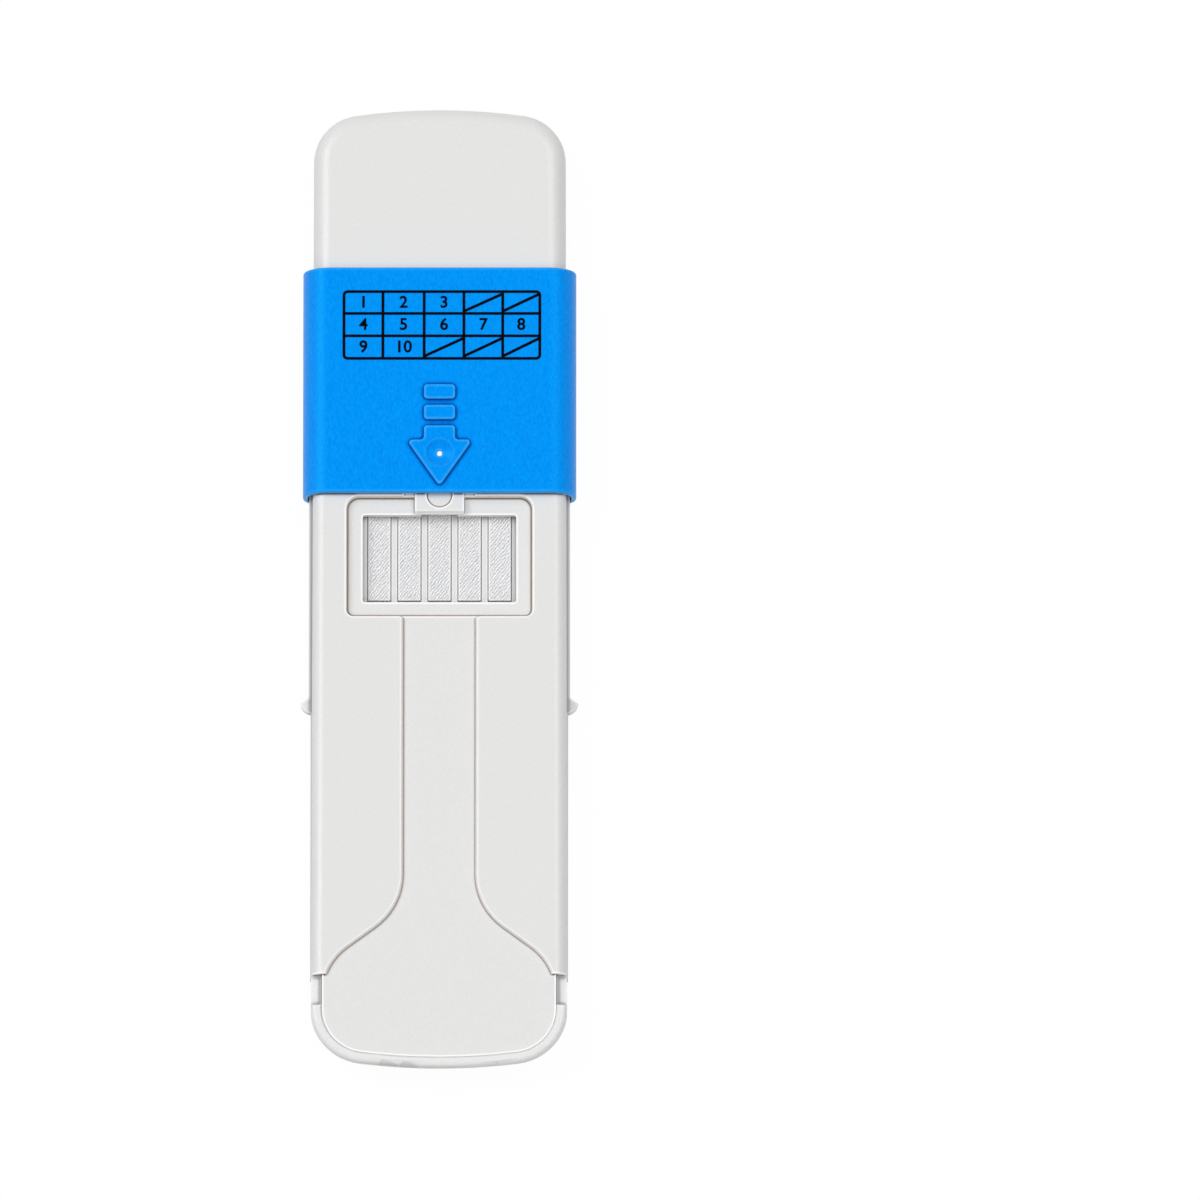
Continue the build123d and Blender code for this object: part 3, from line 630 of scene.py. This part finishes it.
def fibre_layer(name, node, edge, pitch, unevenness, seed):
    """A strip's layer in its CAD solid's place, with round edges and an uneven face."""
    bm = bmesh.new()
    bm.from_mesh(NODES[node].data)
    bmesh.ops.remove_doubles(bm, verts=bm.verts, dist=WELD_DISTANCE)
    bmesh.ops.dissolve_limit(bm, angle_limit=FLAT_ANGLE, verts=bm.verts, edges=bm.edges)
    round_square_edges(bm, edge)
    low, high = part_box(node)
    for axis, normal in ((0, (1, 0, 0)), (1, (0, 1, 0))):
        count = round((high[axis] - low[axis]) / pitch)
        for cut in range(1, count):
            place = Vector(low)
            place[axis] += (high[axis] - low[axis]) * cut / count
            bmesh.ops.bisect_plane(
                bm,
                geom=bm.verts[:] + bm.edges[:] + bm.faces[:],
                dist=WELD_DISTANCE,
                plane_co=place,
                plane_no=normal,
            )
    bm.normal_update()
    pattern_start = Vector([seed * step for step in SEED_STEP])
    for vert in [vert for vert in bm.verts if vert.normal.z > FACING_UP]:
        place = vert.co / (LUMP_PITCHES * pitch) + pattern_start
        vert.co.z -= unevenness * (0.5 + 0.5 * noise.noise(place))
    return new_piece(name, bm, smooth=True)


class CASSETTE_OT_finish_shells(bpy.types.Operator):
    """Give the base shell and the front cover their white moulded plastic, with painted shade in
    its creases and a painted highlight on its sharp outer edges
    """

    bl_idname = "cassette.finish_shells"
    bl_label = "Finish shells"

    def execute(self, context):
        shells = context.scene.cassette.shells
        # Crease is painted shade: greyer and spread further deep in the base shell, brown and thin
        # in the cover's creases; edge is a painted highlight on sharp outer edges
        base = {
            "colour": shells.base_colour,
            "crease": {"tint": shells.shade_colour, "share": 0.9, "reach": shells.shade_reach},
            "edge": {"tint": shells.edge_colour, "share": 0.4, "reach": shells.edge_reach},
        }
        cover = {
            "colour": shells.cover_colour,
            "crease": {"tint": shells.crease_colour, "share": 1.0, "reach": shells.crease_reach},
            "edge": {"tint": shells.edge_colour, "share": 1.0, "reach": shells.edge_reach},
        }
        for node, look in (("base_shell", base), ("front_cover", cover)):
            material = moulded_plastic(
                f"moulded_polystyrene_{node}",
                grain=shells.grain,
                edge_radius=shells.edge_radius,
                mottle=0.03,
                roughness=0.38,
                ior=POLYSTYRENE_IOR,
                specular=0.45,
                relief=0.25,
                **look,
            )
            paint(NODES[node], material)
        return {"FINISHED"}


class CASSETTE_OT_finish_sleeve(bpy.types.Operator):
    """Give the sleeve its blue moulded plastic, with a painted darker blue shade in its creases
    and a painted paler blue highlight on its sharp outer edges
    """

    bl_idname = "cassette.finish_sleeve"
    bl_label = "Finish sleeve"

    def execute(self, context):
        sleeve = context.scene.cassette.sleeve
        material = moulded_plastic(
            "moulded_abs_blue",
            sleeve.colour,
            sleeve.grain,
            sleeve.edge_radius,
            mottle=0.16,
            roughness=0.38,
            ior=ABS_IOR,
            specular=0.5,
            relief=0.5,
            gloss_tint=(0.02, 0.7, 1.0),
            # Painted shade in the creases and a painted highlight on the sharp outer edges
            crease={"tint": sleeve.crease_colour, "share": 1.0, "reach": sleeve.crease_reach},
            edge={"tint": sleeve.edge_colour, "share": 0.4, "reach": sleeve.edge_reach},
        )
        paint(NODES["slide_sleeve"], material)
        return {"FINISHED"}


class CASSETTE_OT_print_table(bpy.types.Operator):
    """Print the table and its numbers on the sleeve's face"""

    bl_idname = "cassette.print_table"
    bl_label = "Print table"

    def execute(self, context):
        table = context.scene.cassette.table
        ink = printed_ink(table.colour)
        layers = {
            "printed_lines": build_table_lines(table),
            "printed_numbers": build_numbers(table),
        }
        for name, bm in layers.items():
            raise_ink(bm, table.thickness)
            piece = new_piece(name, bm)
            paint(piece, ink)
            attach(piece, "sleeve")
        return {"FINISHED"}


class CASSETTE_OT_fill_dish_hole(bpy.types.Operator):
    """Put a white plug in the small hole of the sleeve's dish, in the pale edge highlight colour,
    as a painted highlight where the cover shows through
    """

    bl_idname = "cassette.fill_dish_hole"
    bl_label = "Fill dish hole"

    def execute(self, context):
        shells = context.scene.cassette.shells
        bm = bmesh.new()
        bmesh.ops.create_cone(
            bm,
            cap_ends=True,
            segments=SPOT_SEGMENTS,
            radius1=SPOT_RADIUS,
            radius2=SPOT_RADIUS,
            depth=SPOT_Z[1] - SPOT_Z[0],
            matrix=Matrix.Translation((0, DISH_Y, sum(SPOT_Z) / 2)),
        )
        spot = new_piece("dish_spot", bm)
        # Painted highlight: the plug takes the pale edge colour, whiter than the cover that it
        # stands in for
        material = moulded_plastic(
            "painted_highlight_spot",
            shells.edge_colour,
            shells.grain,
            shells.edge_radius,
            mottle=0.02,
            roughness=0.4,
            ior=POLYSTYRENE_IOR,
            specular=0.5,
            relief=0.1,
        )
        paint(spot, material)
        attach(spot, "sleeve")
        return {"FINISHED"}


class CASSETTE_OT_build_strips(bpy.types.Operator):
    """Build the soft layers of the test strips in their CAD solids' places"""

    bl_idname = "cassette.build_strips"
    bl_label = "Build strips"

    def execute(self, context):
        strips = context.scene.cassette.strips
        thread = strips.thread
        # Pressed cellulose: coarse and dull, with slanting ribs and a painted highlight along its
        # cut edges
        cellulose = fibre_mat(
            "cellulose_pad",
            strips.sample_colour,
            thread,
            roughness=0.95,
            relief=1.0,
            mottle=0.36,
            edge_highlight_share=0.9,
            lean=FIBRE_LEAN,
            ribbing=0.3,
        )
        # Glass fibre: finer, faintly pink with dried reagent
        glass_fibre = fibre_mat(
            "glass_fibre_pad",
            strips.conjugate_colour,
            thread,
            roughness=0.9,
            relief=0.3,
            mottle=0.12,
            edge_highlight_share=0.3,
        )
        # Cast nitrocellulose: nearly smooth, with a slight sheen
        nitrocellulose = fibre_mat(
            "nitrocellulose",
            strips.membrane_colour,
            thread,
            roughness=0.6,
            relief=0.08,
            mottle=0.03,
            edge_highlight_share=0.0,
        )
        # Cotton linter: soft and coarse
        cotton = fibre_mat(
            "cotton_linter_pad",
            strips.absorbent_colour,
            thread,
            roughness=0.95,
            relief=0.6,
            mottle=0.15,
            edge_highlight_share=0.5,
        )
        # Extruded film: smooth, with a low gloss
        film = moulded_plastic(
            "polystyrene_backing_film",
            strips.card_colour,
            grain=thread,
            edge_radius=0.05 * MM,
            mottle=0.01,
            roughness=0.35,
            ior=POLYSTYRENE_IOR,
            specular=0.35,
            relief=0.05,
        )
        # Each soft layer's material and slot, the rounding of its edges, the step of its mesh,
        # and how deep its face is pitted
        layers = {
            "sample_pad": (cellulose, "sample_fibre", 0.12 * MM, 0.25 * MM, 0.03 * MM),
            "conjugate_pad": (glass_fibre, "conjugate_fibre", 0.06 * MM, 0.5 * MM, 0.01 * MM),
            "membrane": (nitrocellulose, "membrane", 0.02 * MM, 0.9 * MM, 0.0),
            "absorbent_pad": (cotton, "absorbent_fibre", 0.14 * MM, 0.5 * MM, 0.03 * MM),
        }
        for number in range(1, STRIP_COUNT + 1):
            paint(NODES[f"strip_{number}_backing_card"], film)
            for layer, (material, slot, edge, pitch, unevenness) in layers.items():
                node = f"strip_{number}_{layer}"
                piece = fibre_layer(f"soft_{node}", node, edge, pitch, unevenness, number)
                paint(piece, material)
                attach(piece, "cassette")
                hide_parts(node)
        return {"FINISHED"}


class CASSETTE_OT_set_stage(bpy.types.Operator):
    """Lay the floor, light the cassette and place the camera"""

    bl_idname = "cassette.set_stage"
    bl_label = "Set stage"

    def execute(self, context):
        stage = context.scene.cassette.stage
        lay_floor(stage)
        light_sky(stage)
        hang_light("key", stage.key, KEY_DIRECTION)
        hang_light("fill", stage.fill, FILL_DIRECTION)
        hang_light("front", stage.front, FRONT_DIRECTION)
        place_camera(stage)
        context.scene.view_settings.view_transform = "Standard"
        return {"FINISHED"}


def seen_directly(tree):
    """1 where the eye, a reflection or a see-through surface meets the material, and 0 for other
    light."""
    path = add_node(tree, "ShaderNodeLightPath")
    mirrored = add_node(
        tree,
        "ShaderNodeMath",
        attributes={"operation": "MAXIMUM"},
        links={0: path.outputs["Is Camera Ray"], 1: path.outputs["Is Glossy Ray"]},
    )
    return add_node(
        tree,
        "ShaderNodeMath",
        attributes={"operation": "MAXIMUM"},
        links={0: mirrored.outputs[0], 1: path.outputs["Is Transmission Ray"]},
    ).outputs[0]


def lay_floor(stage):
    """A pale floor that shows white and keeps the cassette's soft shadow."""
    bm = bmesh.new()
    bmesh.ops.create_grid(bm, x_segments=FLOOR_CELLS, y_segments=FLOOR_CELLS, size=FLOOR_HALF)
    bmesh.ops.translate(bm, verts=bm.verts, vec=(0, 0, CAD_BOUNDS[0][2] - FLOOR_DROP))
    floor = new_piece("floor", bm)
    material, tree = new_material("matt_white_paper")
    diffuse = add_node(
        tree, "ShaderNodeBsdfDiffuse", values={"Color": opaque(stage.floor_colour)}
    )
    glow = add_node(
        tree, "ShaderNodeEmission", values={"Color": opaque(WHITE), "Strength": FLOOR_GLOW}
    )
    share = add_node(
        tree,
        "ShaderNodeMath",
        attributes={"operation": "MULTIPLY"},
        values={1: FLOOR_GLOW_SHARE},
        links={0: seen_directly(tree)},
    )
    mix = add_node(
        tree,
        "ShaderNodeMixShader",
        links={0: share.outputs[0], 1: diffuse.outputs[0], 2: glow.outputs[0]},
    )
    add_node(tree, "ShaderNodeOutputMaterial", links={"Surface": mix.outputs[0]})
    paint(floor, material)


def light_sky(stage):
    """Soft light from overhead, a little warm, in front of a backdrop that shows white."""
    world = bpy.data.worlds.new("studio")
    bpy.context.scene.world = world
    world.use_nodes = True
    tree = world.node_tree
    tree.nodes.clear()
    direction = add_node(tree, "ShaderNodeTexCoord").outputs["Generated"]
    upward = add_node(tree, "ShaderNodeSeparateXYZ", links={"Vector": direction}).outputs["Z"]
    strength = add_node(
        tree,
        "ShaderNodeMapRange",
        values={"To Min": stage.sky * SKY_LEVELS[0], "To Max": stage.sky * SKY_LEVELS[1]},
        links={"Value": upward},
    )
    lit = add_node(
        tree,
        "ShaderNodeBackground",
        values={"Color": opaque(SKY_COLOUR)},
        links={"Strength": strength.outputs["Result"]},
    )
    white = add_node(
        tree, "ShaderNodeBackground", values={"Color": opaque(WHITE), "Strength": 1.0}
    )
    mix = add_node(
        tree,
        "ShaderNodeMixShader",
        links={0: seen_directly(tree), 1: lit.outputs[0], 2: white.outputs[0]},
    )
    add_node(tree, "ShaderNodeOutputWorld", links={"Surface": mix.outputs[0]})


def hang_light(name, energy, direction):
    """A broad soft light, slightly cool, that comes from a direction."""
    lamp = bpy.data.lights.new(name, "SUN")
    lamp.energy = energy
    lamp.angle = LAMP_SPREAD
    lamp.color = LAMP_COLOUR
    light = bpy.data.objects.new(name, lamp)
    light.rotation_euler = Vector(direction).to_track_quat("Z", "Y").to_euler()
    bpy.context.scene.collection.objects.link(light)


def place_camera(stage):
    """The photograph's view: nearly straight down, from the cassette's lower end."""
    lens = bpy.data.cameras.new("camera")
    lens.lens = stage.lens
    lens.sensor_width = SENSOR_WIDTH
    distance = stage.view_width * stage.lens / lens.sensor_width
    camera = bpy.data.objects.new("camera", lens)
    back = Vector((0, -math.cos(stage.elevation), math.sin(stage.elevation)))
    camera.location = Vector(CAMERA_AIM) * MM + back * distance
    camera.rotation_euler = (math.pi / 2 - stage.elevation, 0, 0)
    bpy.context.scene.collection.objects.link(camera)
    bpy.context.scene.camera = camera


class CASSETTE_PT_panel(bpy.types.Panel):
    """Lists the cassette's pieces and their settings"""

    bl_idname = "CASSETTE_PT_panel"
    bl_label = "Lateral flow cassette"
    bl_space_type = "VIEW_3D"
    bl_region_type = "UI"
    bl_category = "Cassette"

    def draw(self, context):
        settings = context.scene.cassette
        for operator, group in OPERATORS:
            box = self.layout.box()
            box.operator(operator.bl_idname)
            part = getattr(settings, group)
            for name in part.__annotations__:
                box.prop(part, name)


OPERATORS = (
    (CASSETTE_OT_set_stage, "stage"),
    (CASSETTE_OT_finish_shells, "shells"),
    (CASSETTE_OT_finish_sleeve, "sleeve"),
    (CASSETTE_OT_print_table, "table"),
    (CASSETTE_OT_fill_dish_hole, "shells"),
    (CASSETTE_OT_build_strips, "strips"),
)
CLASSES = (
    ShellSettings,
    SleeveSettings,
    PrintSettings,
    StripSettings,
    StageSettings,
    CassetteSettings,
    *(operator for operator, _ in OPERATORS),
    CASSETTE_PT_panel,
)


def register():
    for cls in CLASSES:
        bpy.utils.register_class(cls)
    bpy.types.Scene.cassette = PointerProperty(
        name="Cassette", description="Looks of the lateral flow cassette", type=CassetteSettings
    )


def unregister():
    del bpy.types.Scene.cassette
    for cls in reversed(CLASSES):
        bpy.utils.unregister_class(cls)


def main():
    register()
    bpy.ops.cassette.set_stage()
    bpy.ops.cassette.finish_shells()
    bpy.ops.cassette.finish_sleeve()
    bpy.ops.cassette.print_table()
    bpy.ops.cassette.fill_dish_hole()
    bpy.ops.cassette.build_strips()


if __name__ == "__main__":
    main()
